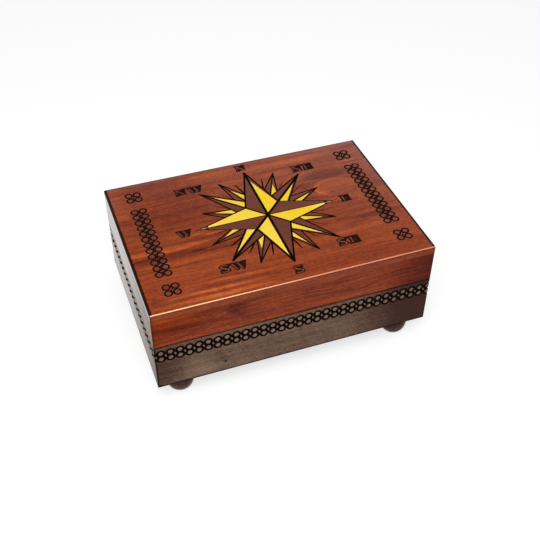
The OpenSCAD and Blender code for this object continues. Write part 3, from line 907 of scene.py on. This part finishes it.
# the clouds of the lid's top: x y, radii along x y, strength, solid core
topClouds = (
    (-88, -13.6, 44, 4.9, 0.26, 0.6), (-88, -21.7, 44, 3.7, -0.15, 0.6),
    (-64, -22.6, 9, 2.4, -0.2, 0.2), (-111, -23.2, 9, 4.5, -0.12, 0.2), (-44, -25.5, 30, 2, -0.14, 0.3),
    (-80, -30.6, 46, 4.2, 0.13, 0.4), (-88, -36.2, 38, 1, -0.2, 0.2), (-59, -2.4, 9, 1.7, 0.34, 0.2),
    (-48, -4.9, 9, 1.6, 0.34, 0.2), (-112, 5, 10, 6, 0.1, 0.2), (-112, 40, 8, 6, 0.16, 0.2),
    (-68, 38, 62, 36, -0.16, 0.2), (-85, 75, 45, 8, -0.12, 0.3), (-25, 75, 40, 5, 0.2, 0.4),
    (110, 75, 16, 7, -0.14, 0.2), (-14, 57, 22, 5, 0.16, 0.4), (45, 71, 56, 4.6, 0.18, 0.5),
    (40, 62.5, 62, 2, -0.14, 0.3), (30, 56, 22, 4, 0.18, 0.4), (103, 54.5, 15, 3, 0.16, 0.3),
    (74, 41, 30, 9.5, -0.24, 0.5), (50, 28, 12, 9, -0.1, 0.2), (74, 20.5, 20.5, 13.5, 0.26, 0.86),
    (75.5, 19.6, 18.6, 12, -0.2, 0.8), (60, 15, 8, 6, 0.14, 0.2), (111, 22, 9, 13, -0.1, 0.2),
    (114, 8, 9, 12, -0.14, 0.2), (-112, 29, 9, 6, -0.1, 0.2), (70, -2, 26, 3.4, -0.16, 0.4),
    (60, -10, 12, 2.6, 0.08, 0.4), (70, -31, 20, 3, -0.1, 0.2), (95, -27, 29, 4.2, -0.24, 0.4),
    (66, -23.6, 18, 2.2, -0.14, 0.3), (75, -40, 48, 4.5, 0.12, 0.4), (-40, -62, 46, 1.2, 0.22, 0.3),
    (-50, -59, 42, 1, -0.14, 0.3), (-40, -66.2, 56, 1.2, -0.12, 0.3), (-60, -70.6, 50, 3, 0.36, 0.3),
    (62, -63.4, 60, 1.1, -0.16, 0.3), (-112, -69, 9, 7, -0.16, 0.2), (-60, -77.6, 62, 3, 0.28, 0.4),
    (-20, -45, 110, 8, 0.05, 0.3),
)
lidTopLook = dict(
    lidLook, tones=((86, 30, 15), (122, 50, 27), (150, 67, 35), (178, 84, 41), (212, 114, 58)),
    bands=0.34, streaks=0.1, lines=0.38, speckle=0.48, coatIor=1.35,
    # the tint at the left end is painted reflection: it dims the left face and turns it green-grey, as
    # the pale floor's sheen shows it
    tints=((-121, 0, 83, 2.5, 400, 60, 0.6, (0.66, 1.05, 0.5)),),
    clouds=[(x, y, 101, rx, ry, 4, strength, core) for x, y, rx, ry, strength, core in topClouds])
baseLook = dict(
    lidLook, tones=((64, 40, 31), (96, 70, 56), (122, 96, 79), (146, 118, 98), (170, 142, 120)),
    poreColour=(44, 28, 22),
    bands=0.18, streaks=0.1, lines=0.28, ripple=0.24, pores=0.3,
    # the base's painted edge shade is as strong at the left, and it has no painted highlight
    edgeShadeColour=(16, 10, 8), leftEdgeShadeStrength=0.95, paintedHighlight=0,
    scorched=(44, 22, 16), burnt=(14, 7, 5),
    paint=(160, 134, 114), paintTips=(160, 134, 114), cover=0.46,
    coat=0.7, frontPolish=0.5,
    knots=((-62.6, -83, 30.4, 1.6, 4, 2.6),),
    # this tint, centred past the right end, is painted shade: the base darker and warmer towards the
    # right
    tints=((140, -83, 40, 96, 9, 100, 0.3, (1, 0.74, 0.62)),),
    clouds=((-67, -83, 34, 6, 9, 18, -0.08, 0.2), (-50, -83, 28, 60, 9, 12, 0.08, 0.2),
            # the cloud centred past the right end is painted shade, darkening the base towards the right
            (-84, -83, 30, 24, 9, 16, 0.14, 0.2), (140, -83, 40, 104, 30, 100, -0.7, 0.1),
            (-128, -83, 40, 44, 20, 50, -0.3, 0.1)))
lidSideLook = dict(
    lidLook, coatIor=1.225, sidePolish=0.36,
    # the added tint is the same painted reflection on the left board
    tints=(*lidLook["tints"], (-121, 0, 83, 8, 400, 60, 0.6, (0.66, 1.05, 0.5))))
baseSideLook = dict(
    # the added tint at the left end is painted reflection: the base's left face warmer, as its sheen of
    # the floor shows
    baseLook, tints=(*baseLook["tints"], (-121, 0, 40, 8, 400, 60, 0.6, (1, 1.02, 0.72))))
footLook = dict(
    baseLook, tones=((34, 14, 9), (58, 33, 24), (78, 50, 38), (104, 72, 56), (130, 94, 76)),
    knots=(), rough=0.34, coat=0.6,
    tints=((-100, -70, 4, 18, 20, 12, 0.3, (1.15, 0.72, 0.6)),),
    # the second cloud is painted shade: the feet darker towards the floor
    clouds=((-98, -64, 10, 200, 200, 3, 0.1, 0.2), (0, 0, -2, 400, 400, 10, -0.7, 0.5)))

lidTopWood = boxWood("lid_top_wood", lidTopLook)
lidWoodX = boxWood("lid_wood_along_x", lidLook)
lidWoodY = boxWood("lid_wood_along_y", lidSideLook, "y")
baseWoodX = boxWood("base_wood_along_x", baseLook)
baseWoodY = boxWood("base_wood_along_y", baseSideLook, "y")
bottomWood = boxWood("bottom_wood", baseLook, "x", True)
footWood = boxWood("foot_wood", footLook, "x", True)
hingeBrass = metal("hinge_brass", (214, 172, 96), (150, 112, 60), 0.3, 0.5)
screwSteel = metal("screw_steel", (176, 176, 178), (120, 120, 124), 0.32, 0.4)
print("materials made")

carvedTop(lidTopWood)
along = 0
for board, (turn, halfLong, out) in boardSides.items():
    carvedBoard(board, along, baseWoodY if turn in (90, 270) else baseWoodX)
    along += 2 * (halfLong - cornerRound + cornerRound * math.pi / 4)
print("band length", round(along, 3), "rings", round(along / band["pitch"], 3))

finishes = {
    "lid_front_board": lidWoodX, "lid_back_board": lidWoodX,
    "lid_left_board": lidWoodY, "lid_right_board": lidWoodY,
    "base_bottom_panel": bottomWood,
}
for name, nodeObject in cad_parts.items():
    finish = finishes.get(name)
    if name.startswith("foot_") and name != "foot_screws":
        finish = footWood
    elif "leaf" in name:
        finish = hingeBrass
    elif "pin" in name or "screws" in name:
        finish = screwSteel
    if finish is not None:
        for materialSlot in nodeObject.material_slots:
            materialSlot.material = finish
print("finishes put on the plain nodes")


# Floor, world, lamps and camera

studio = {
    "floorSize": 12,
    "floorColour": (0.42, 0.42, 0.42, 1),
    "floorGlow": 0.66,       # added for camera, mirror and glass rays, so that the floor shows white
    "worldLevel": 0.4,
    "ceilingLevel": 0.05,
    "backdropTilt": (-0.1, 0, 1), "backdropEnd": (0.5, 0.61),
    "keyPlace": (-0.35, -0.75, 1.05), "keySize": (0.7, 0.7), "keyPower": 9.4,
    "topPlace": (-0.1, -0.25, 1.6), "topSize": (1, 1), "topPower": 6,
    "lampAim": (0, 0, 0.06),
}


def seenRays(tree):
    path = put("LightPath", {}, 0, tree).node
    seen = calc("MAXIMUM", path.outputs["Is Camera Ray"], path.outputs["Is Glossy Ray"])
    return calc("MAXIMUM", seen, path.outputs["Is Transmission Ray"])


def makeStudio():
    half = studio["floorSize"] / 2
    mesh = bpy.data.meshes.new("floor")
    floorCorners = [(-half, -half, 0), (half, -half, 0), (half, half, 0), (-half, half, 0)]
    mesh.from_pydata(floorCorners, [], [(0, 1, 2, 3)])
    floor = bpy.data.objects.new("floor", mesh)
    scene.collection.objects.link(floor)
    material = bpy.data.materials.new("floor_pale")
    material.use_nodes = True
    tree = material.node_tree
    glow = times(seenRays(tree), studio["floorGlow"])
    feed(tree.nodes["Principled BSDF"], {
        "Base Color": studio["floorColour"], "Roughness": 1, "Specular IOR Level": 0,
        "Emission Color": (1, 1, 1, 1), "Emission Strength": glow})
    mesh.materials.append(material)

    world = bpy.data.worlds.new("studio")
    world.use_nodes = True
    scene.world = world
    tree = world.node_tree
    facing = put("TexCoord", {}, 0, tree)
    height = vector("DOT_PRODUCT", facing, studio["backdropTilt"], out=1)
    shown = spread(height, *studio["backdropEnd"], 1, studio["ceilingLevel"])
    level = put("Mix", {0: seenRays(tree), 2: studio["worldLevel"], 3: shown},
                data_type="FLOAT")
    feed(tree.nodes["Background"], {"Strength": level, "Color": (1, 1, 1, 1)})

    for name in ("key", "top"):
        lamp = bpy.data.lights.new(name + "_softbox", "AREA")
        lamp.shape = "RECTANGLE"
        lamp.size, lamp.size_y = studio[name + "Size"]
        lamp.energy = studio[name + "Power"]
        holder = bpy.data.objects.new(name + "_softbox", lamp)
        place = Vector(studio[name + "Place"])
        turn = (place - Vector(studio["lampAim"])).to_track_quat("Z", "Y").to_matrix().to_4x4()
        holder.matrix_world = Matrix.Translation(place) @ turn
        scene.collection.objects.link(holder)


view = {
    # fitted to the box's corners: azimuth, elevation and roll in degrees, then how far right, up
    # and back the camera stands, in box widths, all from the middle of the base's underside
    "turns": (-20.2402, 42.2058, 0.4123),
    "right": 0.0245, "up": 0.0673, "back": 3.2252,
    "lensPixels": 846.6,  # focal length in the photo's pixels
    "photoPixels": 540,
    "sensor": 36,
    "farEnd": 50,
}


def makeCamera():
    az, el, roll = (math.radians(v) for v in view["turns"])
    width = boxWide / 1000
    z = Vector((math.sin(az) * math.cos(el), -math.cos(az) * math.cos(el), math.sin(el)))
    x = Vector((0, 0, 1)).cross(z).normalized()
    y = z.cross(x)
    x, y = x * math.cos(roll) + y * math.sin(roll), y * math.cos(roll) - x * math.sin(roll)
    place = (x * view["right"] + y * view["up"] + z * view["back"]) * width
    place += Vector((0, 0, baseFloor / 1000))
    lens = bpy.data.cameras.new("camera")
    lens.sensor_width = view["sensor"]
    lens.lens = view["sensor"] * view["lensPixels"] / view["photoPixels"]
    lens.clip_end = view["farEnd"]
    camera = bpy.data.objects.new("camera", lens)
    turn = Matrix((x, y, z)).transposed().to_4x4()
    camera.matrix_world = Matrix.Translation(place) @ turn
    scene.collection.objects.link(camera)
    scene.camera = camera


makeStudio()
makeCamera()
print("studio and camera made")
